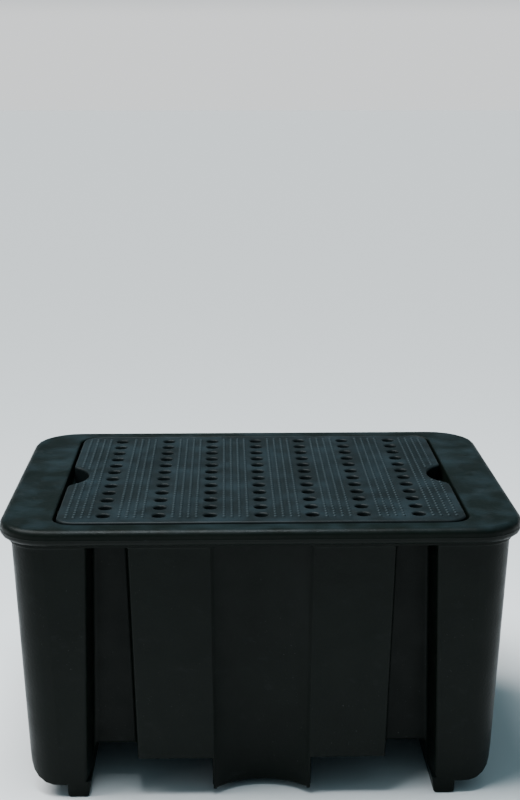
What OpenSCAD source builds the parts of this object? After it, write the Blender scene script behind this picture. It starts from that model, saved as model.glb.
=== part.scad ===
// Spill containment pallet for one drum: a moulded sump and a drainage deck that lifts out of it.
// The origin is the middle of the footprint, on the floor. +X is right, +Y is back, +Z is up.

/* [Overall] */
// Length over the rim, left to right
rim_length = 1010; // [980:10:1100]
// Depth over the rim, front to back
rim_depth = 730; // [710:10:800]
// Height from the floor to the plane that the drum stands on
stand_height = 580; // [540:10:640]
// Thickness of the moulded skin
wall = 6; // [4:0.5:7]

/* [Sump rim] */
// Drop from the plane that the drum stands on to the top of the rim
rim_drop = 4; // [2:0.5:6]
// Height of the rim's rolled outer band
band_height = 32; // [28:1:36]
// Radius of the rolled edge of the rim
band_edge = 12; // [6:1:13]
// Corner radius of the rim, seen from above
rim_corner = 100; // [80:5:120]
// Overhang of the rim past the body at the left and right
side_overhang = 21; // [20:1:45]
// Overhang of the rim past the body at the front and back
front_overhang = 38; // [36:1:45]

/* [Sump body] */
// Corner radius of the body, seen from above
body_corner = 65; // [50:5:80]
// Draft angle of the outside walls
draft = 2.3; // [1.5:0.1:2.5]
// Half-width of the scalloped centre bay
bay_half = 100; // [80:5:110]
// Depth of the scallop
bay_depth = 43; // [30:1:50]
// Width of the flat panel beside the centre bay
panel_width = 156; // [130:2:160]
// Width of the flute between the flat panel and the corner leg
flute_width = 79; // [70:1:85]
// Depth of the flutes in the front and back
flute_depth = 72; // [50:1:75]
// Depth of the flutes in the left and right sides
side_flute_depth = 50; // [30:1:55]
// Half-width of the flat panel in each side
side_panel_half = 114; // [100:2:120]

/* [Sump underside] */
// Height of the floor of the sump above the ground, under its skin
fork_height = 82; // [75:1:100]
// Height of the underside of each runner above the ground
runner_lift = 26; // [20:1:35]
// Radius of the lower outer edge of each runner
heel_radius = 50; // [40:1:55]
// Distance from the middle to the inner edge of each skid
skid_inner = 345; // [340:1:350]
// Width of each skid
skid_width = 41; // [30:1:45]
// Setback of the ends of the skid from the walls
skid_setback = 0; // [0:1:15]
// Gap between the centre leg and the ground
centre_lift = 12; // [2:1:15]

/* [Deck] */
// Thickness of the deck
deck_thickness = 42; // [36:1:50]
// Thickness of the deck's skin
deck_wall = 5; // [4:0.5:6]
// Length of the deck, left to right
deck_length = 790; // [780:2:800]
// Depth of the deck, front to back
deck_depth = 630; // [620:2:636]
// Corner radius of the deck
deck_corner = 38; // [30:1:45]
// Gap round the deck
deck_gap = 6; // [4:0.5:7]
// Radius of the drain funnels at the top
funnel_top = 17; // [14:0.5:18]
// Radius of the drain funnels at the bottom
funnel_bottom = 9; // [7:0.5:11]
// Radius of the finger notch in each side
notch_radius = 80; // [70:1:90]
// Depth of the finger notch
notch_depth = 37; // [30:1:40]

/* [Hidden] */
black = [0.07, 0.09, 0.09];
deck_grey = [0.13, 0.17, 0.18];
far = 40;
seat_gap = 0.3;
arc_steps = 8;
bay_steps = 48;

rim_top = stand_height - rim_drop;
rim_bottom = rim_top - band_height;
seat_z = stand_height - deck_thickness - seat_gap;
ledge_z = seat_z - wall;
floor_z = fork_height + wall;
collar = 4;
body_hx = rim_length / 2 - side_overhang;
body_hy = rim_depth / 2 - front_overhang;
pocket_hx = deck_length / 2 + deck_gap;
pocket_hy = deck_depth / 2 + deck_gap;
mouth_hx = pocket_hx - 30;
mouth_hy = body_hy - flute_depth - wall - 2;
flute_in = bay_half + panel_width;
flute_out = flute_in + flute_width;
flute_slant = 0.09;
edge_draft = 0.6;
runner_lean = 0.13;
side_flute_out = side_panel_half + flute_width;
leg_side = bay_half - 0.27 * drawn_in(0) + 2;
runner_side = skid_inner - runner_lean * fork_height;
split_x = bay_half + panel_width / 2;
split_y = (side_flute_out + body_hy - body_corner) / 2;
funnel_columns = 7;
funnel_rows = 12;
funnel_pitch_x = 99;
funnel_edge_x = 305;
funnel_pitch_y = 49.6;
lug_radius = 5;
lug_reach = 4;

// How far an outside wall has drawn in at height z
function drawn_in(z) = (ledge_z - z) * tan(draft);
// Outline of a rectangle with round corners, anticlockwise
function round_rect(hx, hy, r) = [
    for (q = [0:3], i = [0:arc_steps])
        let (a = 90 * (q + i / arc_steps), sx = (q == 0 || q == 3) ? 1 : -1, sy = q < 2 ? 1 : -1)
            [sx * (hx - r) + r * cos(a), sy * (hy - r) + r * sin(a)]
];
function at_height(outline, z) = [for (p = outline) [p[0], p[1], z]];
// Outline of the sump's walls at height z, drawn in by the skin
function body_outline(z, skin) =
    let (t = drawn_in(z) + skin) at_height(round_rect(body_hx - t, body_hy - t, body_corner - skin), z);
// Outline of a flute that is cut into the wall at y = -face, anticlockwise
function flute_outline(z, skin, edge_in, edge_out, face, depth) =
    let (t = drawn_in(z), a = edge_in - edge_draft * t - skin, b = edge_out + edge_draft * t + skin,
         front = face - t + far, back = face - t - depth - skin)
        [[a - flute_slant * far, -front, z], [b + flute_slant * far, -front, z],
         [b - flute_slant * depth, -back, z], [a + flute_slant * depth, -back, z]];
// Outline of the scallop, a circle through both edges of the centre bay
function bay_outline(z, skin) =
    let (t = drawn_in(z), half = bay_half - 0.27 * t, sagitta = bay_depth * half / bay_half,
         r = (half * half + sagitta * sagitta) / (2 * sagitta), cy = sagitta - r - (body_hy - t))
        [for (i = [0:bay_steps - 1])
            let (a = 360 * i / bay_steps) [(r + skin) * cos(a), cy + (r + skin) * sin(a), z]];

// Solid through a stack of outlines that all have the same number of points
module loft(rings) {
    n = len(rings[0]);
    m = len(rings);
    sides = [
        for (k = [0:m - 2], i = [0:n - 1])
            let (a = k * n + i, b = k * n + (i + 1) % n) each [[a, a + n, b + n], [a, b + n, b]]
    ];
    floor_face = [for (i = [0:n - 1]) i];
    top_face = [for (i = [n - 1:-1:0]) (m - 1) * n + i];
    polyhedron([for (r = rings) each r], concat(sides, [floor_face, top_face]));
}
module both_x() { for (m = [0, 1]) mirror([m, 0, 0]) children(); }
module both_y() { for (m = [0, 1]) mirror([0, m, 0]) children(); }
// Extrudes a section drawn in X and Z right through the pallet along Y
module along_y(length) { rotate([90, 0, 0]) linear_extrude(height = length, center = true) children(); }

// Straight-sided block with round corners, from z0 to z1
module block(hx, hy, r, z0, z1) {
    loft([at_height(round_rect(hx, hy, r), z0), at_height(round_rect(hx, hy, r), z1)]);
}

// The rim's plate with its rolled edge, drawn in by the skin
module rim_plate(skin) {
    e = band_edge - skin / 2;
    hx = rim_length / 2 - skin;
    hy = rim_depth / 2 - skin;
    r = rim_corner - skin;
    z0 = rim_bottom + skin;
    z1 = rim_top - skin;
    roll = [for (a = [-90:22.5:0]) [e * (1 - cos(a)), z0 + e + e * sin(a)]];
    loft([
        for (p = concat(roll, [for (a = [0:22.5:90]) [e * (1 - cos(a)), z1 - e + e * sin(a)]]))
            at_height(round_rect(hx - p[0], hy - p[0], r - p[0]), p[1])
    ]);
}

// The fluted walls' outer surface (skin 0) or inner surface (skin = wall), as if they ran to the ground
module wall_form(skin) {
    cut_top = ledge_z + skin;
    difference() {
        loft([body_outline(skin, skin), body_outline(ledge_z + wall + 2, skin)]);
        both_x() both_y() {
            loft([for (z = [-far, cut_top])
                flute_outline(z, skin, flute_in, flute_out, body_hy, flute_depth)]);
            rotate([0, 0, 90]) loft([for (z = [-far, cut_top])
                flute_outline(z, skin, side_panel_half, side_flute_out, body_hx, side_flute_depth)]);
        }
        both_y() loft([for (z = [-far, cut_top]) bay_outline(z, skin)]);
    }
}

// The same surface with the fork tunnels, heels and skids cut into it
module foot_form(skin) {
    difference() {
        wall_form(skin);
        both_x() {
            along_y(2 * rim_depth) fork_tunnel_section(skin);
            along_y(2 * rim_depth) heel_section(skin);
            both_y() translate([skid_inner - 9 - skin, body_hy - drawn_in(0) - skid_setback - skin, -far])
                cube([skid_width + 18 + 2 * skin, 2 * far, far + runner_lift + skin]);
        }
        translate([-bay_half - 5, -rim_depth, -far])
            cube([2 * bay_half + 10, 2 * rim_depth, far + centre_lift + skin]);
    }
}

// Opening for a fork between the centre leg and a runner
module fork_tunnel_section(skin) {
    inner = bay_half - 0.27 * drawn_in(0) - skin;
    outer = skid_inner + skin;
    polygon([
        [inner, -far], [outer + runner_lean * far, -far],
        [outer - runner_lean * (fork_height + skin), fork_height + skin], [inner + 2, fork_height + skin]
    ]);
}

// Space under a runner outside its skid, with the runner's round lower edge
module heel_section(skin) {
    skid_side = skid_inner + skid_width - skin;
    cx = body_hx - drawn_in(runner_lift + heel_radius) - heel_radius + 0.5;
    cz = runner_lift + heel_radius;
    r = heel_radius - skin;
    polygon(concat(
        [[skid_side - 1, -far], [skid_side, cz - r]],
        [for (i = [0:arc_steps]) let (a = -90 + 90 * i / arc_steps) [cx + r * cos(a), cz + r * sin(a)]],
        [[cx + heel_radius + far, cz], [cx + heel_radius + far, -far]]
    ));
}

// Cuts its children down to a box that reaches from one corner to the other
module part_of(low, high) {
    intersection() {
        children();
        translate(low) cube(high - low);
    }
}
// Skin of the fluted walls, between the floor and the rim
module walls() difference() { wall_form(0); wall_form(wall); }
// Skin of everything below the top of the floor
module feet() difference() { foot_form(0); foot_form(wall); }

// A skid's outer form (skin 0) or the hollow inside it, between the ground and its runner
module skid_bar(skin) {
    outer = skid_inner + skid_width - skin;
    top = runner_lift + skin / 2;
    along_y(2 * (body_hy - drawn_in(0) - skid_setback - skin)) polygon([
        [skid_inner + skin - runner_lean * skin, skin], [outer, skin],
        [outer, top], [skid_inner + skin - runner_lean * top, top]
    ]);
}

// Rolled rim with its collar, round the pocket that the deck drops into
module rim_skin() difference() {
    union() {
        block(body_hx + collar, body_hy + collar, body_corner + collar, ledge_z, rim_bottom + 4);
        rim_plate(0);
    }
    difference() {
        union() {
            wall_form(wall);
            block(body_hx + collar - wall, body_hy + collar - wall, body_corner, seat_z, rim_bottom + wall + 2);
            rim_plate(wall);
        }
        block(pocket_hx + wall, pocket_hy + wall, deck_corner + deck_gap + wall, ledge_z, stand_height);
    }
    block(pocket_hx, pocket_hy, deck_corner + deck_gap, ledge_z - 2, stand_height);
}

// The sump is one moulding. Its regions meet face to face, and each is a node of its own.
module front_rim() color(black)
    part_of([-pocket_hx, -rim_depth, ledge_z], [pocket_hx, 0, stand_height]) rim_skin();
module back_rim() color(black) mirror([0, 1, 0]) front_rim();
module right_rim() color(black)
    part_of([pocket_hx, -rim_depth, ledge_z], [rim_length, rim_depth, stand_height]) rim_skin();
module left_rim() color(black) mirror([1, 0, 0]) right_rim();
// Flat ledge under the edge of the deck
module deck_seat() color(black) difference() {
    block(pocket_hx, pocket_hy, deck_corner + deck_gap, ledge_z, seat_z);
    block(mouth_hx, mouth_hy, deck_corner, ledge_z - 2, seat_z + 2);
}

module front_wall() color(black)
    part_of([-split_x, -rim_depth, floor_z], [split_x, 0, ledge_z]) walls();
module back_wall() color(black) mirror([0, 1, 0]) front_wall();
module right_wall() color(black)
    part_of([0, -split_y, floor_z], [rim_length, split_y, ledge_z]) walls();
module left_wall() color(black) mirror([1, 0, 0]) right_wall();
module front_right_corner() color(black)
    part_of([split_x, -rim_depth, floor_z], [rim_length, -split_y, ledge_z]) walls();
module front_left_corner() color(black) mirror([1, 0, 0]) front_right_corner();
module back_right_corner() color(black) mirror([0, 1, 0]) front_right_corner();
module back_left_corner() color(black) mirror([0, 1, 0]) front_left_corner();

// Hollow leg between the fork tunnels
module centre_leg() color(black)
    part_of([-leg_side, -rim_depth, 0], [leg_side, rim_depth, floor_z]) feet();
// Roof of a fork tunnel, which is the sump's floor
module right_floor() color(black)
    part_of([leg_side, -rim_depth, fork_height - 1], [runner_side, rim_depth, floor_z]) feet();
module left_floor() color(black) mirror([1, 0, 0]) right_floor();
module right_runner() color(black)
    part_of([runner_side, -rim_depth, runner_lift], [rim_length, rim_depth, floor_z]) feet();
module left_runner() color(black) mirror([1, 0, 0]) right_runner();
// Hollow bar that a runner stands on, open into the runner
module right_skid() color(black) difference() {
    skid_bar(0);
    skid_bar(wall);
}
module left_skid() color(black) mirror([1, 0, 0]) right_skid();

// Outline of the deck, drawn in by the skin
module deck_outline(skin) difference() {
    union() {
        square([deck_length - 2 * deck_corner, deck_depth - 2 * skin], center = true);
        square([deck_length - 2 * skin, deck_depth - 2 * deck_corner], center = true);
        both_x() both_y() translate([deck_length / 2 - deck_corner, deck_depth / 2 - deck_corner])
            circle(deck_corner - skin, $fn = 64);
    }
    both_x() translate([deck_length / 2 - notch_depth + notch_radius, 0])
        circle(notch_radius + skin, $fn = 96);
}

// Places its children at every drain funnel
module at_funnels() {
    for (c = [0:funnel_columns - 1], r = [0:funnel_rows - 1]) {
        i = c - (funnel_columns - 1) / 2;
        x = abs(i) < 3 ? i * funnel_pitch_x : sign(i) * funnel_edge_x;
        translate([x, (r - (funnel_rows - 1) / 2) * funnel_pitch_y, 0]) children();
    }
}

// Hollow deck: two skins joined by the tapered walls of the drain funnels
module deck() color(deck_grey) translate([0, 0, seat_z + seat_gap]) difference() {
    union() {
        linear_extrude(height = deck_thickness) deck_outline(0);
        both_y() for (x = [-306, -99, 99, 306]) translate([x, deck_depth / 2 + lug_reach - lug_radius, 0])
            cylinder(r = lug_radius, h = deck_thickness - 8, $fn = 32);
        both_x() for (y = [-225, 225]) translate([deck_length / 2 + lug_reach - lug_radius, y, 0])
            cylinder(r = lug_radius, h = deck_thickness - 8, $fn = 32);
    }
    difference() {
        translate([0, 0, deck_wall]) linear_extrude(height = deck_thickness - 2 * deck_wall)
            deck_outline(deck_wall);
        at_funnels() cylinder(r1 = funnel_bottom + 4, r2 = funnel_top + 4, h = deck_thickness, $fn = 48);
    }
    at_funnels() translate([0, 0, -0.02 * deck_thickness])
        cylinder(r1 = funnel_bottom, r2 = funnel_top, h = 1.04 * deck_thickness, $fn = 48);
}

front_rim();
back_rim();
right_rim();
left_rim();
deck_seat();
front_wall();
back_wall();
right_wall();
left_wall();
front_right_corner();
front_left_corner();
back_right_corner();
back_left_corner();
centre_leg();
right_floor();
left_floor();
right_runner();
left_runner();
right_skid();
left_skid();
deck();
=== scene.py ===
import math

import bpy
import numpy as np
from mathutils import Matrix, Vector


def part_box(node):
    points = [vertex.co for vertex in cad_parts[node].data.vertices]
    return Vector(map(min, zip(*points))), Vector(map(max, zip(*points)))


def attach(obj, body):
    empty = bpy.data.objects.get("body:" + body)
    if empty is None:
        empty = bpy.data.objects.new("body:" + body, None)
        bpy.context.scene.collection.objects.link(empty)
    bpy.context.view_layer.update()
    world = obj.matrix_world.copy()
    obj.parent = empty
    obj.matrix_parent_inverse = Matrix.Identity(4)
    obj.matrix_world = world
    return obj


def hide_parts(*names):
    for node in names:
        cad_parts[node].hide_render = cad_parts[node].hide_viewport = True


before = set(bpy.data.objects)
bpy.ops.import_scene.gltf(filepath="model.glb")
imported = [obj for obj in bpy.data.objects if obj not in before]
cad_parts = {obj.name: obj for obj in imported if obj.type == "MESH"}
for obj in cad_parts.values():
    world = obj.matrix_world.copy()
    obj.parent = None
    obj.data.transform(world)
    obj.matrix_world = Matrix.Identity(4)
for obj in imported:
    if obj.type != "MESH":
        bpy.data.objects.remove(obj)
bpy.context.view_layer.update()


# ---------------------------------------------------------------------------------------------
# Camera
# A long lens looks a little down on the front of the pallet from just left of its middle.
# ---------------------------------------------------------------------------------------------

camera_data = bpy.data.cameras.new("camera")
camera_data.sensor_fit = "VERTICAL"
camera_data.sensor_height = 36.0
camera_data.lens = 64.0
camera_data.clip_end = 60.0
camera = bpy.data.objects.new("camera", camera_data)
camera.location = (-0.065, -2.889, 1.429)
camera.rotation_euler = (math.radians(90.0 - 13.42), 0.0, math.radians(-1.36))
bpy.context.scene.collection.objects.link(camera)
bpy.context.scene.camera = camera


# ---------------------------------------------------------------------------------------------
# Sump
# One rotationally moulded polyethylene tub, about 6 mm thick all over: rolled rim, deck seat,
# fluted walls that draw in towards the floor, hollow legs and two long runners with skids.
# Its outline at any height is a loop of straight runs and arcs, worked out in millimetres.
# ---------------------------------------------------------------------------------------------

MM = 0.001
SKIN = 6.0                      # thickness of the moulding
DRAFT = math.tan(math.radians(2.3))
EDGE_DRAFT = 0.6                # how far a flute's edges open for each unit the wall draws in
BAY_TAPER = 0.27                # how far the centre bay narrows for each unit the wall draws in
FLUTE_SLANT = 0.09              # sideways run of a flute's cheeks for each unit of depth
RUNNER_LEAN = 0.13              # sideways run of a runner's inner wall for each unit of height

# Half lengths and half depths from the middle, heights from the ground
RIM_X, RIM_Y, RIM_TOP = np.array(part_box("right_rim")[1]) / MM
DECK_UNDER, DECK_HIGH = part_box("deck")[0][2] / MM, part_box("deck")[1][2] / MM
RIM_UNDER = RIM_TOP - 32.0
SEAT_GAP = 0.3                  # space between the seat and the deck
SEAT_Z = DECK_UNDER - SEAT_GAP
LEDGE_Z = SEAT_Z - SKIN         # top of the fluted walls
BODY_X, BODY_Y, BODY_CORNER = RIM_X - 21.0, RIM_Y - 38.0, 65.0
COLLAR = 4.0                    # the rim's collar stands this far outside the walls
RIM_CORNER = 100.0
POCKET_X, POCKET_Y, POCKET_CORNER = 401.0, 321.0, 44.0
MOUTH_X, MOUTH_Y, MOUTH_CORNER = 371.0, 247.0, 38.0
BAY_HALF, BAY_DEPTH = 100.0, 43.0
PANEL_OUT, FLUTE_OUT, FLUTE_DEPTH = 256.0, 335.0, 72.0
SIDE_PANEL, SIDE_FLUTE, SIDE_DEPTH = 114.0, 193.0, 50.0
FORK_Z, RUNNER_Z, LEG_Z = 82.0, 26.0, 12.0
HEEL = 50.0                     # radius of a runner's lower outer edge
SKID_IN, SKID_OUT, SKID_END = 345.0, 386.0, BODY_Y - LEDGE_Z * DRAFT
SKID_CORNER, SKID_LEAN = 6.0, 0.05
SKID_ROOT, ROOT_INSET = 8.0, 0.15   # a skid's top is hidden this far up and in its runner's skin

# Radii of the bends that show: lower edges of the runners and skids, of the centre leg and of the
# walls over the fork tunnels, then over the rim from the collar to the mouth
EDGE_ROUND, LEG_ROUND, ROOF_ROUND = 4.0, 7.0, 5.0
UNDER_BEND, LOW_ROLL, HIGH_ROLL = 3.0, 12.0, 13.0
POCKET_LIP, SEAT_BEND, MOUTH_LIP = 5.0, 6.0, 3.0
ROLL_INSET, LINE_INSET = 0.8, 0.1   # the rolled edge and its parting line, inside the rim's size
PARTING_Z = RIM_TOP - 18.0
CAP_INSET = 10.0                # a runner's flat cap starts this far inside its round edge


def rounded_path(points, radii, arc_steps=7, run_stops=(0.04, 0.5, 0.96)):
    """Turns the inner corners of open paths into arcs: at a corner that turns by t, an arc of
    radius r starts r * tan(t / 2) before it and sweeps t. points is (levels, corners, 2), and
    run_stops are the shares of each straight run where it has vertices."""
    legs = np.diff(points, axis=1)
    along = legs / np.linalg.norm(legs, axis=2, keepdims=True)
    before, after = along[:, :-1], along[:, 1:]
    turn = np.arctan2(before[..., 0] * after[..., 1] - before[..., 1] * after[..., 0],
                      (before * after).sum(axis=2))
    start = points[:, 1:-1] - before * (radii * np.tan(np.abs(turn) / 2))[..., None]
    inward = np.stack([-before[..., 1], before[..., 0]], axis=2) * np.sign(turn)[..., None]
    sweep = np.abs(turn)[:, :, None] * np.linspace(0, 1, arc_steps)
    arcs = (start[:, :, None] + radii[..., None, None]
            * (np.sin(sweep)[..., None] * before[:, :, None]
               + (1 - np.cos(sweep))[..., None] * inward[:, :, None]))
    run_from = np.concatenate([points[:, :1], arcs[:, :, -1]], axis=1)
    run_to = np.concatenate([arcs[:, :, 0], points[:, -1:]], axis=1)
    stops = np.array(run_stops)[:, None]
    runs = run_from[:, :, None] + stops * (run_to - run_from)[:, :, None]
    levels = len(points)
    mixed = np.concatenate([runs[:, :-1], arcs], axis=2).reshape(levels, -1, 2)
    return np.concatenate([points[:, :1], mixed, runs[:, -1], points[:, -1:]], axis=1)


def full_loop(quarter):
    """Mirrors quarter outlines, which run from the front's middle to the right side's, in both
    directions into whole loops that run anticlockwise from the front's middle."""
    back = quarter[:, -2::-1] * (1, -1)
    left = quarter[:, 1:] * (-1, -1)
    front = quarter[:, -2:0:-1] * (-1, 1)
    return np.concatenate([quarter, back, left, front], axis=1)


def wall_quarter(z, skin):
    """Quarter outline of the fluted wall at heights z, moved inwards by skin: the walls draw in by
    the draft, a flute's cheeks open downwards, and the centre bay is a circle's arc."""
    z, skin = np.broadcast_arrays(np.asarray(z, float), np.asarray(skin, float))
    drawn = (LEDGE_Z - z) * DRAFT
    hx, hy = BODY_X - drawn - skin, BODY_Y - drawn - skin
    bay = BAY_HALF - BAY_TAPER * drawn
    sagitta = BAY_DEPTH * bay / BAY_HALF
    bend = (bay ** 2 + sagitta ** 2) / (2 * sagitta) + skin
    bay_edge = np.sqrt(2 * bend * sagitta - sagitta ** 2)
    centre_y = sagitta + skin - bend - hy - skin
    edge_angle = np.arcsin(bay_edge / bend)
    arc_stop = edge_angle - 10.0 / bend      # 10 mm short of the bay's edge, to leave room to round it
    arc_angle = arc_stop[:, None] * np.linspace(0, 1, 11)
    bay_arc = np.stack([bend[:, None] * np.sin(arc_angle),
                        centre_y[:, None] + bend[:, None] * np.cos(arc_angle)], axis=2)

    def flute(half, edge_in, edge_out, depth):
        """Corners of one flute as (along the wall, away from the middle)."""
        a, b = edge_in - EDGE_DRAFT * drawn - skin, edge_out + EDGE_DRAFT * drawn + skin
        back = half - depth
        return [(a, half), (a + FLUTE_SLANT * depth, back), (b - FLUTE_SLANT * depth, back), (b, half)]

    front = [(s, -o) for s, o in flute(hy, PANEL_OUT, FLUTE_OUT, FLUTE_DEPTH)]
    side = [(o, -s) for s, o in flute(hx, SIDE_PANEL, SIDE_FLUTE, SIDE_DEPTH)][::-1]
    corners = [(bay_arc[:, -1, 0], bay_arc[:, -1, 1]), (bay_edge, -hy)] + front + [(hx, -hy)] + side
    corners.append((hx, np.zeros_like(hx)))
    path = np.stack([np.stack(np.broadcast_arrays(x, y), axis=1) for x, y in corners], axis=1)
    # Radius of each corner on the outer skin; a negative one is hollow and grows with the skin
    bends = np.array([4.0, 5.0, -8.0, -8.0, 8.0, BODY_CORNER, 8.0, -9.0, -9.0, 8.0])
    radii = np.maximum(np.abs(bends) - np.sign(bends) * skin[:, None], 1.5)
    return np.concatenate([bay_arc[:, :-1], rounded_path(path, radii)], axis=1)


def wall_loop(z, skin=0.0):
    """Whole fluted outlines, one for each height."""
    return full_loop(wall_quarter(np.atleast_1d(z), skin))


# The quarter outline at the ledge, and the columns where its round corner starts and ends
QUARTER = wall_quarter(np.array([LEDGE_Z]), np.array([0.0]))[0]
FIRST_ARC = np.flatnonzero(QUARTER[:, 0] >= BODY_X - BODY_CORNER - 0.01)[0]
LAST_ARC = np.flatnonzero(QUARTER[:, 1] >= -(BODY_Y - BODY_CORNER) - 0.01)
LAST_ARC = LAST_ARC[LAST_ARC > FIRST_ARC][0]


def plain_loop(hx, hy, corner):
    """Rectangle with round corners that has one point for each point of the fluted outline: the
    same share of the way along a side, or the same angle round a corner. Takes arrays of sizes."""
    sizes = np.broadcast_arrays(*np.atleast_1d(hx, hy, corner))
    hx, hy, corner = [size.astype(float)[:, None] for size in sizes]
    along_front = QUARTER[:FIRST_ARC, 0] / QUARTER[FIRST_ARC, 0]
    along_side = QUARTER[LAST_ARC + 1:, 1] / QUARTER[LAST_ARC, 1]
    turned = np.linspace(0, math.pi / 2, LAST_ARC - FIRST_ARC + 1)
    x = np.concatenate([along_front * (hx - corner), hx - corner + corner * np.sin(turned),
                        np.broadcast_to(hx, (len(hx), len(along_side)))], axis=1)
    y = np.concatenate([np.broadcast_to(-hy, (len(hy), len(along_front))),
                        -(hy - corner) - corner * np.cos(turned), -along_side * (hy - corner)], axis=1)
    return full_loop(np.stack([x, y], axis=2))


def at_heights(loops, z):
    """Adds heights to a stack of flat loops."""
    z = np.broadcast_to(np.atleast_1d(z)[:, None, None], loops.shape[:2] + (1,))
    return np.concatenate([loops, z], axis=2)


def strip_faces(index):
    """Quads between neighbouring rows of a grid of vertex numbers whose columns close into a loop.
    Takes one grid (rows, columns) or a whole array of them."""
    ahead = np.roll(index, -1, axis=-1)
    corners = [index[..., :-1, :], ahead[..., :-1, :], ahead[..., 1:, :], index[..., 1:, :]]
    return np.stack(corners, axis=-1).reshape(-1, 4)


def round_down(radius, steps=5):
    """Height above the end and inset of an edge that rounds over downwards, first row at the top:
    radius * (1 - sin a) and radius * (1 - cos a), with a from 0 to 90 degrees."""
    turned = np.linspace(0, math.pi / 2, steps)
    return radius * (1 - np.sin(turned)), radius * (1 - np.cos(turned))


class Mould:
    """Gathers the vertices and faces of one closed surface, in millimetres."""

    def __init__(self):
        self.points, self.faces, self.count = [], [], 0

    def add(self, points):
        """Stores points and returns their numbers in the same grid."""
        index = self.count + np.arange(points[..., 0].size).reshape(points.shape[:-1])
        self.points.append(points.reshape(-1, 3))
        self.count += index.size
        return index

    def cover(self, faces, flip=False):
        """Stores faces, turned over if flip is set."""
        self.faces += [list(face[::-1]) if flip else list(face) for face in faces]

    def build(self, name):
        """Makes the mesh object, with vertices at one place welded and flat faces shaded flat."""
        points = np.concatenate(self.points)
        _, first, where = np.unique(np.round(points, 3), axis=0, return_index=True, return_inverse=True)
        where = where.reshape(-1)
        mesh = bpy.data.meshes.new(name)
        mesh.from_pydata(points[first] * MM, [], [where[face].tolist() for face in self.faces])
        mesh.validate()
        mesh.shade_smooth()
        mesh.set_sharp_from_angle(angle=math.radians(50.0))
        piece = bpy.data.objects.new(name, mesh)
        bpy.context.scene.collection.objects.link(piece)
        weighted = piece.modifiers.new("flat_faces", "WEIGHTED_NORMAL")
        weighted.keep_sharp = True
        return piece


# Columns of the loop: half of it, all of it, and the ones where the legs go on below the roof of
# the fork tunnels
HALF = 2 * (len(QUARTER) - 1)
LOOP = 2 * HALF
CHEEK = int(np.flatnonzero(np.abs(QUARTER[:, 1] + BODY_Y - FLUTE_DEPTH) < 0.5)[-1])
BAY_EDGE = int(np.flatnonzero(QUARTER[:, 1] <= 0.01 - BODY_Y)[0])
RIGHT_RUNNER = np.arange(CHEEK, HALF - CHEEK + 1)
LEFT_RUNNER = (RIGHT_RUNNER + HALF) % LOOP
LEG_FRONT = np.arange(-BAY_EDGE, BAY_EDGE + 1) % LOOP
LEG_BACK = (LEG_FRONT + HALF) % LOOP
IN_LEG = np.zeros(LOOP, bool)
IN_LEG[np.concatenate([RIGHT_RUNNER, LEFT_RUNNER, LEG_FRONT, LEG_BACK])] = True
# Places of the vertices along a leg's straight side, from the front (1) to the back (-1)
SPREAD = np.linspace(1, -1, 12)[1:-1]


def add_runner(mould, ring, columns, side, skin, flip):
    """Carries a runner's ring down from the roof. Its inner wall is the plane
    x = skid's edge - lean * z. Outside, each column meets the round heel, the cylinder
    (x - heel_x)^2 + (z - end - radius)^2 = radius^2, over a small round edge, and follows it in."""
    end, radius = RUNNER_Z + skin, HEEL - skin
    heel_x = wall_loop(RUNNER_Z + HEEL, skin)[0, HALF // 2, 0] - radius

    def ring_at(inset, z):
        """The runner's outline at height z, moved inwards by inset, as x (always positive) and y."""
        outline = wall_loop(z, skin + inset)[0, columns]
        inner_x = SKID_IN + skin - RUNNER_LEAN * z
        line = np.stack([np.full(SPREAD.size, side * inner_x), side * SPREAD * abs(outline[0, 1])], axis=1)
        x, y = np.concatenate([outline, line]).T
        return np.maximum(side * x, inner_x), y

    def on_heel(x):
        """Height of the runner's underside: flat, then up the heel's cylinder."""
        return end + radius - np.sqrt(radius ** 2 - np.clip(x - heel_x, 0, radius) ** 2)

    grid = []
    x, y = ring_at(0.0, end)
    lift = EDGE_ROUND * np.clip(1 - (x - heel_x) / radius, 0, 1)
    top = on_heel(x) + lift
    for share in (0.05, 0.5, 1.0):
        z = FORK_Z + skin + (top - FORK_Z - skin) * share
        x, y = ring_at(0.0, float(np.mean(z)))
        grid.append((x, y, z))
    for inset, height in ((0.5, 0.5), (1.5, 0.15), (EDGE_ROUND, 0.0)):
        x, y = ring_at(inset, end)
        grid.append((x, y, on_heel(x) + lift * height))
    angle = np.arcsin(np.clip((x - heel_x) / radius, 0, 1))
    for share in np.linspace(0, 1, 9)[1:]:
        x_flat, y = ring_at(EDGE_ROUND + CAP_INSET * share, end)
        turned = angle * (1 - share)
        x = np.where(angle > 0, heel_x + radius * np.sin(turned), np.minimum(x_flat, heel_x))
        grid.append((x, y, end + radius * (1 - np.cos(turned))))
    points = np.stack([np.stack([side * x, y, z], axis=1) for x, y, z in grid])
    index = np.concatenate([ring[None], mould.add(points)])[::-1]
    mould.cover(strip_faces(index), flip)
    mould.cover([index[0][::-1]], flip)


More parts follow.
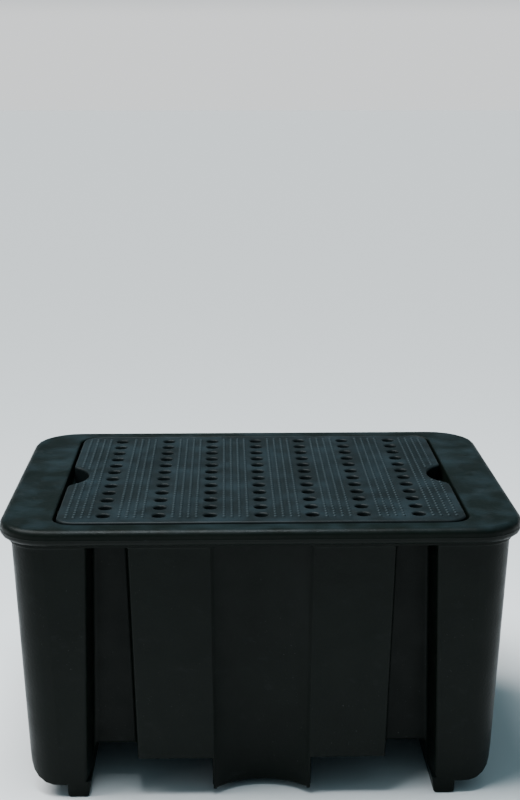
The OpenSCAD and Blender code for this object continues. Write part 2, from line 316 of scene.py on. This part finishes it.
def add_centre_leg(mould, ring, skin, flip):
    """Carries the centre leg's ring down from the roof to its rounded foot."""
    height, inset = round_down(LEG_ROUND)
    z = np.concatenate([[FORK_Z + skin - 2.0], LEG_Z + skin + height])
    inset = np.concatenate([[0.0], inset])
    loops = wall_loop(z, skin + inset)
    half = (loops[0, LEG_FRONT[-1], 0] - inset)[:, None]
    front, back = [np.stack([np.clip(loops[:, leg, 0], -half, half), loops[:, leg, 1]], axis=2)
                   for leg in (LEG_FRONT, LEG_BACK)]
    right = np.stack(np.broadcast_arrays(half, loops[:, LEG_FRONT[-1], 1:] * SPREAD), axis=2)
    rows = np.concatenate([front, right, back, -right], axis=1)
    index = np.concatenate([ring[None], mould.add(at_heights(rows, z))])[::-1]
    mould.cover(strip_faces(index), flip)
    mould.cover([index[0][::-1]], flip)


def add_tub_side(mould, skin, flip):
    """Adds the fluted wall, the roofs of the fork tunnels and the three legs of the outer surface
    (skin 0) or of the inner surface, and returns the wall's top row of vertices."""
    roof = FORK_Z + skin
    height, inset = round_down(ROOF_ROUND + skin)
    z = np.concatenate([roof + height[::-1], [roof + height[0] + 2.0, LEDGE_Z - 8.0]])
    inset = np.concatenate([inset[::-1], [0.0, 0.0]])
    loops = np.where(IN_LEG[:, None], wall_loop(z, skin), wall_loop(z, skin + inset))
    wall = mould.add(at_heights(loops, z))
    mould.cover(strip_faces(wall), flip)
    bottom, flat = wall[0], loops[0]

    def line_at(x, y_half, side):
        """Straight line of vertices along a leg's side of the roof, from front to back on the right."""
        line = np.stack([np.full(SPREAD.size, side * x), side * y_half * SPREAD], axis=1)
        return mould.add(at_heights(line[None], roof))[0]

    runner_lines, leg_lines = {}, {}
    for side, columns in ((1, RIGHT_RUNNER), (-1, LEFT_RUNNER)):
        runner_lines[side] = line_at(SKID_IN + skin - RUNNER_LEAN * roof, abs(flat[CHEEK, 1]), side)
        leg_lines[side] = line_at(flat[BAY_EDGE, 0], flat[BAY_EDGE, 1], side)
        add_runner(mould, np.concatenate([bottom[columns], runner_lines[side]]), columns, side, skin, flip)
    leg_ring = np.concatenate([bottom[LEG_FRONT], leg_lines[1], bottom[LEG_BACK], leg_lines[-1]])
    add_centre_leg(mould, leg_ring, skin, flip)
    between = np.arange(BAY_EDGE, CHEEK + 1)
    right_roof = np.concatenate([bottom[between], runner_lines[1][::-1],
                                 bottom[HALF - between[::-1]], leg_lines[1][::-1]])
    left_roof = np.concatenate([bottom[HALF + between], runner_lines[-1][::-1],
                                bottom[LOOP - between[::-1]], leg_lines[-1][::-1]])
    mould.cover([right_roof[::-1], left_roof[::-1]], flip)
    return wall[-1:]


def rim_rows():
    """Rows of plain loops over the rim, as (half length, half depth, corner radius, height): up
    the collar, round the rolled edge and its parting line, down the pocket, over the seat and
    down the mouth. Every bend is an arc, radius * (cos a, sin a), and a row 2 or 3 mm past it
    keeps the flat beside it flat."""
    collar = np.array([BODY_X + COLLAR, BODY_Y + COLLAR, BODY_CORNER + COLLAR])
    rim = np.array([RIM_X, RIM_Y, RIM_CORNER])
    pocket = np.array([POCKET_X, POCKET_Y, POCKET_CORNER])
    mouth = np.array([MOUTH_X, MOUTH_Y, MOUTH_CORNER])
    rows = []

    def run(base, outs, heights):
        """Loops that are the base grown outwards by outs."""
        outs, heights = np.broadcast_arrays(outs, heights)
        rows.append(np.column_stack([base + outs.reshape(-1, 1), heights.reshape(-1)]))

    def turned(start, stop, steps):
        """Cosines and sines of evenly spaced angles in degrees."""
        angles = np.radians(np.linspace(start, stop, steps))
        return np.cos(angles), np.sin(angles)

    run(collar, np.zeros(3), np.array([LEDGE_Z + 0.6, LEDGE_Z + 2.0, RIM_UNDER - 3.5]))
    cos, sin = turned(0, 90, 5)
    run(collar, UNDER_BEND * (1 - cos), RIM_UNDER - UNDER_BEND * (1 - sin))
    cos, sin = turned(-90, 0, 7)
    run(rim, -ROLL_INSET - LOW_ROLL * (1 - cos), RIM_UNDER + LOW_ROLL * (1 + sin))
    run(rim, -np.array([ROLL_INSET, LINE_INSET, LINE_INSET, ROLL_INSET]),
        PARTING_Z + np.array([-1.3, -0.5, 0.5, 1.3]))
    cos, sin = turned(0, 90, 8)
    run(rim, -ROLL_INSET - HIGH_ROLL * (1 - cos), RIM_TOP - HIGH_ROLL * (1 - sin))
    run(rim, np.array([-ROLL_INSET - HIGH_ROLL - 3.0]), RIM_TOP)
    run(pocket, np.array([POCKET_LIP + 3.0]), RIM_TOP)
    run(pocket, POCKET_LIP * (1 - sin), RIM_TOP - POCKET_LIP * (1 - cos))
    run(pocket, np.array([-0.2]), SEAT_Z + SEAT_BEND + 1.0)
    cos, sin = turned(0, 90, 5)
    run(pocket, -SEAT_BEND * (1 - cos), SEAT_Z + SEAT_BEND * (1 - sin))
    run(pocket, np.array([-SEAT_BEND - 2.0]), SEAT_Z)
    run(mouth, np.array([MOUTH_LIP + 2.0]), SEAT_Z)
    run(mouth, MOUTH_LIP * (1 - sin), SEAT_Z - MOUTH_LIP * (1 - cos))
    run(mouth, np.array([0.0, 0.5]), LEDGE_Z + np.array([0.5, 0.0]))
    return np.concatenate(rows).T


def add_skid(mould, side):
    """One skid: a bar with rounded ends and lower edges whose inner face carries on the runner's."""
    height, inset = round_down(EDGE_ROUND)
    z = np.concatenate([[RUNNER_Z + SKID_ROOT, RUNNER_Z, 9.0], height])
    inset = np.concatenate([[ROOT_INSET, ROOT_INSET, 0.0], inset])
    inner = SKID_IN - RUNNER_LEAN * z + inset
    outer = SKID_OUT + SKID_LEAN * z - inset
    reach = SKID_END + DRAFT * z - inset
    turned = np.linspace(0, math.pi / 2, 6)
    corner = (SKID_CORNER - 0.7 * inset)[:, None]
    x = (outer - inner)[:, None] / 2 - corner + corner * np.sin(turned)
    y = -(reach[:, None] - corner) - corner * np.cos(turned)
    front = np.stack([x, y], axis=2)
    back = front[:, ::-1] * (1, -1)
    middle = np.stack([side * (outer + inner) / 2, np.zeros_like(outer)], axis=1)
    loops = np.concatenate([front, back, -front, -back], axis=1) + middle[:, None]
    index = mould.add(at_heights(loops, z))[::-1]
    mould.cover(strip_faces(index))
    mould.cover([index[0][::-1], index[-1]])


sump_mould = Mould()
outside = add_tub_side(sump_mould, 0.0, flip=False)
inside = add_tub_side(sump_mould, SKIN, flip=True)
# The walls bend out under the ledge in an arc that is as wide as the collar
angle = np.linspace(0, math.pi / 2, 5)
bend_z = LEDGE_Z - COLLAR + COLLAR * np.sin(angle)
under_ledge = sump_mould.add(at_heights(wall_loop(bend_z, COLLAR * (np.cos(angle) - 1)), bend_z))
*rim_shape, rim_z = rim_rows()
rim = sump_mould.add(at_heights(plain_loop(*rim_shape), rim_z))
inner_top = sump_mould.add(at_heights(wall_loop(LEDGE_Z, SKIN), LEDGE_Z))
sump_mould.cover(strip_faces(np.concatenate([outside, under_ledge, rim, inner_top, inside])))
for side in (1, -1):
    add_skid(sump_mould, side)
sump = sump_mould.build("sump_shell")
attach(sump, "sump")
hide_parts(*[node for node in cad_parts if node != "deck"])


# DUST_AND_SKY_SHEEN is the pale blue-green for up-facing faces: partly settled dust, partly painted sky
# reflection
DUST_AND_SKY_SHEEN, SCUFF, SPECK = (0.036, 0.063, 0.078), (0.014, 0.016, 0.016), (0.20, 0.21, 0.20)


def moulded_plastic(name, colour, roughness, grain):
    """Pigmented polyethylene from a sandblasted mould. Height is fine grain on slow waves of
    shrinkage. Gloss and colour drift with broad noise, scuffs are paler and rougher, a few pale
    specks stick to it, and a pale blue-green grows as the surface turns to face up: partly
    settled dust, partly painted sky sheen on the tops."""
    material = bpy.data.materials.new(name)
    material.use_nodes = True
    tree = material.node_tree
    shader = tree.nodes["Principled BSDF"]
    place = tree.nodes.new("ShaderNodeTexCoord").outputs["Object"]

    def noise(scale, detail, stretch=(1.0, 1.0, 1.0)):
        """Noise between 0 and 1, scale in cells for each metre."""
        mapping = tree.nodes.new("ShaderNodeMapping")
        mapping.inputs["Scale"].default_value = stretch
        texture = tree.nodes.new("ShaderNodeTexNoise")
        texture.inputs["Scale"].default_value = scale
        texture.inputs["Detail"].default_value = detail
        tree.links.new(place, mapping.inputs["Vector"])
        tree.links.new(mapping.outputs["Vector"], texture.inputs["Vector"])
        return texture.outputs["Fac"]

    def remap(value, low, high, to_low, to_high):
        """Straight-line map of low to to_low and high to to_high, held at both ends."""
        node = tree.nodes.new("ShaderNodeMapRange")
        limits = {"From Min": low, "From Max": high, "To Min": to_low, "To Max": to_high}
        for socket, number in limits.items():
            node.inputs[socket].default_value = number
        tree.links.new(value, node.inputs["Value"])
        return node.outputs["Result"]

    def combine(kind, first, second):
        """Sum or product of two values."""
        node = tree.nodes.new("ShaderNodeMath")
        node.operation = kind
        tree.links.new(first, node.inputs[0])
        tree.links.new(second, node.inputs[1])
        return node.outputs["Value"]

    def blend(share, first, second):
        """Colour first * (1 - share) + second * share."""
        node = tree.nodes.new("ShaderNodeMix")
        node.data_type = "RGBA"
        tree.links.new(share, node.inputs["Factor"])
        for socket, value in ((node.inputs[6], first), (node.inputs[7], second)):
            if isinstance(value, tuple):
                socket.default_value = value + (1.0,)
            else:
                tree.links.new(value, socket)
        return node.outputs[2]

    def bump(height, strength, distance, below=None):
        """Normal bent by a height, on top of the normal below."""
        node = tree.nodes.new("ShaderNodeBump")
        node.inputs["Strength"].default_value = strength
        node.inputs["Distance"].default_value = distance
        tree.links.new(height, node.inputs["Height"])
        if below is not None:
            tree.links.new(below, node.inputs["Normal"])
        return node.outputs["Normal"]

    # Waves about 90 mm apart, then peel of 5 mm and grain of under 2 mm
    waves = bump(noise(11.0, 1.0), 0.5, 0.004)
    peel = bump(noise(190.0, 2.0), grain, 0.0006, waves)
    tree.links.new(bump(noise(620.0, 2.0), grain, 0.0004, peel), shader.inputs["Normal"])

    scuff = remap(noise(30.0, 6.0, (1.0, 1.0, 1.6)), 0.62, 0.80, 0.0, 0.30)
    facing = tree.nodes.new("ShaderNodeSeparateXYZ")
    tree.links.new(tree.nodes.new("ShaderNodeNewGeometry").outputs["Normal"], facing.inputs["Vector"])
    # Up-facing faces blend towards the pale blue-green: partly dust, partly painted sky sheen
    upward = remap(facing.outputs["Z"], 0.4, 1.0, 0.0, 1.0)
    dust_and_sheen = combine("MULTIPLY", upward, remap(noise(16.0, 6.0), 0.42, 0.8, 0.0, 0.22))
    speck_patches = remap(noise(5.0, 2.0), 0.45, 0.6, 0.0, 1.0)
    speck = combine("MULTIPLY", remap(noise(330.0, 1.0), 0.75, 0.83, 0.0, 0.30), speck_patches)
    faded, grainy = [tuple(gain * part for part in colour) for gain in (1.35, 1.9)]
    tint = blend(remap(noise(7.0, 4.0), 0.3, 0.7, 0.0, 1.0), colour, faded)
    tint = blend(remap(noise(420.0, 1.0), 0.45, 0.75, 0.0, 0.5), tint, grainy)
    tint = blend(dust_and_sheen, blend(scuff, tint, SCUFF), DUST_AND_SKY_SHEEN)
    tree.links.new(blend(speck, tint, SPECK), shader.inputs["Base Color"])
    rough = combine("ADD", remap(noise(22.0, 4.0), 0.3, 0.7, roughness - 0.05, roughness + 0.07),
                    remap(scuff, 0.0, 1.0, 0.0, 0.16))
    tree.links.new(rough, shader.inputs["Roughness"])
    shader.inputs["IOR"].default_value = 1.5
    shader.inputs["Specular IOR Level"].default_value = 0.075
    return material


sump.data.materials.append(moulded_plastic("sump_polyethylene", (0.0020, 0.0033, 0.0024), 0.38, 0.60))


# ---------------------------------------------------------------------------------------------
# Deck
# A second polyethylene moulding that drops loose into the rim: 84 drain funnels in seven
# columns, a finger notch in each end, locating lugs round the edge. It lifts straight out.
# ---------------------------------------------------------------------------------------------

DECK_X, DECK_Y, DECK_CORNER = 395.0, 315.0, 38.0
NOTCH_RADIUS, NOTCH_DEPTH, NOTCH_FLARE = 80.0, 37.0, 20.0
STUD_HEIGHT = 2.4
DECK_TOP = DECK_HIGH - STUD_HEIGHT
FUNNEL_X = np.array([-305.0, -198.0, -99.0, 0.0, 99.0, 198.0, 305.0])
PITCH_Y = 49.6
# Each funnel has a cell of the deck to itself: the cells' borders, and the vertices along one side
CELL_X = np.array([-335.0, -251.5, -148.5, -49.5, 49.5, 148.5, 251.5, 335.0])
CELL_Y = PITCH_Y * np.arange(-6, 7)
CELL_RUNS = 8
LIP_RADIUS, LIP_ROUND = 17.0, 4.5
# Below its lip, a funnel's radii at heights above the underside
FUNNEL_RADII, FUNNEL_HEIGHTS = [10.6, 9.2, 9.4, 10.6, 12.0], np.array([20.0, 3.0, 1.6, 0.35, 0.0])
LOW_EDGE, HIGH_EDGE = 3.0, 5.0  # radii of the deck's lower and upper edges
LUG_RADIUS, LUG_TALL = 5.0, 29.0


def add_funnels(mould):
    """Each cell maps its rectangular border to a circle with equal angles, dips over a round lip,
    with radius lip - round * sin a and depth round * (1 - cos a), and tapers down to a smaller
    hole in the underside, where it maps back to the border."""
    share = np.arange(CELL_RUNS) / CELL_RUNS
    u = np.concatenate([share, np.ones(CELL_RUNS), 1 - share, np.zeros(CELL_RUNS)])
    v = np.concatenate([np.zeros(CELL_RUNS), share, np.ones(CELL_RUNS), 1 - share])
    angle = math.radians(-135.0) + 2 * math.pi * np.arange(len(u)) / len(u)
    lip = np.radians(np.linspace(0, 78, 7))
    radius = np.concatenate([LIP_RADIUS - LIP_ROUND * np.sin(lip), FUNNEL_RADII])
    z = np.concatenate([DECK_TOP - LIP_ROUND * (1 - np.cos(lip)), DECK_UNDER + FUNNEL_HEIGHTS])
    left, front = np.meshgrid(CELL_X[:-1], CELL_Y[:-1], indexing="ij")
    width = np.diff(CELL_X)[:, None, None]
    border = np.stack([left[..., None] + width * u, front[..., None] + PITCH_Y * v], axis=-1)
    middle = np.stack(np.broadcast_arrays(FUNNEL_X[:, None], front + PITCH_Y / 2), axis=-1)
    circle = radius[:, None, None] * np.stack([np.cos(angle), np.sin(angle)], axis=1)
    circles = middle[:, :, None, None] + circle
    flat = np.concatenate([border[:, :, None], circles, border[:, :, None]], axis=2)
    heights = np.concatenate([[DECK_TOP], z, [DECK_UNDER]])[:, None, None]
    grid = np.concatenate([flat, np.broadcast_to(heights, flat.shape[:-1] + (1,))], axis=-1)
    mould.cover(strip_faces(mould.add(grid)))


def deck_loop(inset):
    """Deck's outline moved inwards, anticlockwise from the middle of the front, with one point for
    each point on the border of the block of cells: straight runs, corner arcs, and at each end a
    notch that is a circle's arc and opens through a flare of the opposite bend."""
    inset = np.atleast_1d(np.asarray(inset, float))[:, None]
    corner_x, corner_y = DECK_X - DECK_CORNER, DECK_Y - DECK_CORNER
    corner = DECK_CORNER - inset
    notch_x = DECK_X - NOTCH_DEPTH + NOTCH_RADIUS
    flare_x = DECK_X - NOTCH_FLARE
    flare_y = math.sqrt((NOTCH_RADIUS + NOTCH_FLARE) ** 2 - (notch_x - flare_x) ** 2)
    sweep = math.atan2(flare_y, notch_x - flare_x)
    front_run = corner_x * np.linspace(0, 1, 23)
    turn = np.linspace(0, math.pi / 2, 13)[1:-1]
    side_run = -corner_y + (corner_y - flare_y) * np.linspace(0, 1, 23)[:-1]
    flare = sweep * np.linspace(0, 1, 7)[:-1]
    notch = sweep * np.linspace(1, 0, 15)
    runs = [
        (front_run, inset - DECK_Y),
        (corner_x + corner * np.sin(turn), -corner_y - corner * np.cos(turn)),
        (DECK_X - inset, side_run),
        (flare_x + (NOTCH_FLARE - inset) * np.cos(flare), -flare_y + (NOTCH_FLARE - inset) * np.sin(flare)),
        (notch_x - (NOTCH_RADIUS + inset) * np.cos(notch), -(NOTCH_RADIUS + inset) * np.sin(notch)),
    ]
    return full_loop(np.concatenate([np.stack(np.broadcast_arrays(x, y), axis=2) for x, y in runs], axis=1))


def add_deck_frame(mould):
    """Frame round the block of cells: flat skins above and below from the block's border to the
    deck's outline, and the edge between them, with an arc below and a wider one above."""
    front_x = np.interp(np.arange(0, 3.5 * CELL_RUNS + 1), CELL_RUNS * np.array([0, 0.5, 1.5, 2.5, 3.5]),
                        np.append(0.0, CELL_X[4:]))
    front = np.stack([front_x, np.full_like(front_x, CELL_Y[0])], axis=1)
    rise = np.linspace(1, 0, 6 * CELL_RUNS + 1)[1:]
    side = np.stack([np.full_like(rise, CELL_X[-1]), CELL_Y[0] * rise], axis=1)
    inner = full_loop(np.concatenate([front, side])[None])
    height, inset = round_down(LOW_EDGE)
    top = np.linspace(0, math.pi / 2, 6)
    edge = np.concatenate([inset[::-1], [0.0], HIGH_EDGE * (1 - np.cos(top))])
    edge_z = np.concatenate([DECK_UNDER + height[::-1], [DECK_UNDER + 20.0],
                             DECK_TOP - HIGH_EDGE * (1 - np.sin(top))])
    loops = np.concatenate([inner, deck_loop(edge), inner])
    z = np.concatenate([[DECK_UNDER], edge_z, [DECK_TOP]])
    mould.cover(strip_faces(mould.add(at_heights(loops, z))))


def add_lugs(mould):
    """Twelve lugs that keep the gap round the deck even: short upright columns with domed tops."""
    at_x, at_y = np.meshgrid([-306.0, -99.0, 99.0, 306.0], [DECK_Y - 1.0, 1.0 - DECK_Y])
    side_x, side_y = np.meshgrid([DECK_X - 1.0, 1.0 - DECK_X], [-225.0, 225.0])
    middle = np.stack([np.append(at_x, side_x), np.append(at_y, side_y)], axis=1)
    turned = np.radians([0, 30, 60, 80])
    radius = np.concatenate([[LUG_RADIUS - 1.0, LUG_RADIUS], LUG_RADIUS * np.cos(turned)])
    z = DECK_UNDER + np.concatenate([[0.0, 1.0], LUG_TALL + LUG_RADIUS * np.sin(turned)])
    angle = 2 * math.pi * np.arange(20) / 20
    ring = radius[:, None, None] * np.stack([np.cos(angle), np.sin(angle)], axis=1)
    for x, y in middle:
        index = mould.add(at_heights(ring + (x, y), z))
        mould.cover(strip_faces(index))
        mould.cover([index[0][::-1], index[-1]])


deck_mould = Mould()
add_funnels(deck_mould)
add_deck_frame(deck_mould)
add_lugs(deck_mould)
deck = deck_mould.build("deck_panel")
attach(deck, "deck")
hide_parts("deck")
deck.data.materials.append(moulded_plastic("deck_polyethylene", (0.0045, 0.0062, 0.0064), 0.40, 0.45))


# ---------------------------------------------------------------------------------------------
# Grip studs
# Small round pips moulded into the deck's skin between the columns of funnels, and in four
# columns along each end. They carry the drum; their paler colour is a painted highlight.
# ---------------------------------------------------------------------------------------------

STUD_PITCH_X, STUD_PITCH_Y, STUD_ROWS = 15.2, 14.6, 40
STUD_MARGIN = 9.0               # least distance from a stud's middle to the deck's edge
inner_x = (CELL_X[1:-1, None] + STUD_PITCH_X * np.array([-1.5, -0.5, 0.5, 1.5])).reshape(-1)
end_x = np.array([331.0, 346.0, 361.0, 376.0])
stud_x, stud_y = np.meshgrid(np.concatenate([inner_x, end_x, -end_x]),
                             STUD_PITCH_Y * (np.arange(STUD_ROWS) - (STUD_ROWS - 1) / 2),
                             indexing="ij")
stud_at = np.stack([stud_x.reshape(-1), stud_y.reshape(-1)], axis=1)
notch_gap = np.hypot(np.abs(stud_at[:, 0]) - (DECK_X - NOTCH_DEPTH + NOTCH_RADIUS), stud_at[:, 1])
corner_gap = np.hypot(*(np.abs(stud_at) - (DECK_X - DECK_CORNER, DECK_Y - DECK_CORNER)).clip(0).T)
stud_at = stud_at[(notch_gap > NOTCH_RADIUS + STUD_MARGIN) & (corner_gap < DECK_CORNER - STUD_MARGIN)]
# One stud is four rings of ten points, from just inside the deck's skin to its small flat top
stud_radius = np.array([3.7, 3.4, 2.6, 1.3])
stud_z = DECK_TOP + np.array([-0.2, 0.8, 1.9, STUD_HEIGHT])
angle = 2 * math.pi * np.arange(10) / 10
circle = np.stack([np.cos(angle), np.sin(angle)], axis=1)
stud_rings = at_heights(stud_radius[:, None, None] * circle, stud_z)
studs_mould = Mould()
index = studs_mould.add(stud_rings + np.pad(stud_at, ((0, 0), (0, 1)))[:, None, None])
studs_mould.cover(strip_faces(index))
studs_mould.cover(index[:, -1])
studs_mould.cover(index[:, 0, ::-1])
grip_studs = studs_mould.build("grip_studs")
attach(grip_studs, "deck")
# The studs' paler colour all over is a painted highlight, standing in for the glints on their rounded tops
grip_studs.data.materials.append(moulded_plastic("stud_painted_highlight", (0.013, 0.019, 0.021), 0.36, 0.30))


# ---------------------------------------------------------------------------------------------
# Floor, light and background
# A pale matt floor that runs back out of sight, a cool soft light high on the left, a smaller one
# above the front edge of the rim, a weak one low on the left, and a pale horizon under a dim sky.
# ---------------------------------------------------------------------------------------------

floor_mesh = bpy.data.meshes.new("floor")
floor_mesh.from_pydata([(-30, -12, 0), (30, -12, 0), (30, 40, 0), (-30, 40, 0)], [], [(0, 1, 2, 3)])
floor = bpy.data.objects.new("floor", floor_mesh)
bpy.context.scene.collection.objects.link(floor)
floor_material = bpy.data.materials.new("pale_floor")
floor_material.use_nodes = True
floor_shader = floor_material.node_tree.nodes["Principled BSDF"]
floor_shader.inputs["Base Color"].default_value = (0.80, 0.80, 0.80, 1.0)
floor_shader.inputs["Roughness"].default_value = 0.9
floor_shader.inputs["Specular IOR Level"].default_value = 0.1
floor_mesh.materials.append(floor_material)

world = bpy.data.worlds.new("surround")
world.use_nodes = True
sky = world.node_tree
direction = sky.nodes.new("ShaderNodeSeparateXYZ")
sky.links.new(sky.nodes.new("ShaderNodeTexCoord").outputs["Generated"], direction.inputs["Vector"])
ramp = sky.nodes.new("ShaderNodeValToRGB")
sky.links.new(direction.outputs["Z"], ramp.inputs["Fac"])
horizon, overhead = ramp.color_ramp.elements
horizon.position, horizon.color = 0.03, (0.72, 0.74, 0.75, 1.0)
overhead.position, overhead.color = 0.95, (0.16, 0.24, 0.27, 1.0)
ramp.color_ramp.elements.new(0.09).color = (0.036, 0.075, 0.098, 1.0)
sky.links.new(ramp.outputs["Color"], sky.nodes["Background"].inputs["Color"])
sky.nodes["Background"].inputs["Strength"].default_value = 1.5
bpy.context.scene.world = world


def soft_light(kind, name, place, aim, size, power, colour):
    """Soft light that points from place to aim: a square, or a sun whose size is an angle."""
    data = bpy.data.lights.new(name, kind)
    data.energy, data.color = power, colour
    if kind == "SUN":
        data.angle = size
    else:
        data.size = size
    light = bpy.data.objects.new(name, data)
    light.location = place
    light.rotation_euler = (Vector(aim) - Vector(place)).to_track_quat("-Z", "Y").to_euler()
    bpy.context.scene.collection.objects.link(light)


soft_light("SUN", "high_soft_sun", (-1.9, 0.5, 3.6), (0.0, 0.0, 0.3),
           math.radians(40.0), 4.2, (0.97, 0.99, 1.0))
soft_light("AREA", "rim_light", (-0.3, -0.5, 3.0), (0.0, -0.3, 0.5), 1.0, 112.0, (0.86, 0.95, 1.0))
soft_light("AREA", "left_fill", (-3.4, -1.6, 1.5), (0.0, 0.0, 0.3), 1.2, 8.0, (0.95, 0.98, 1.0))
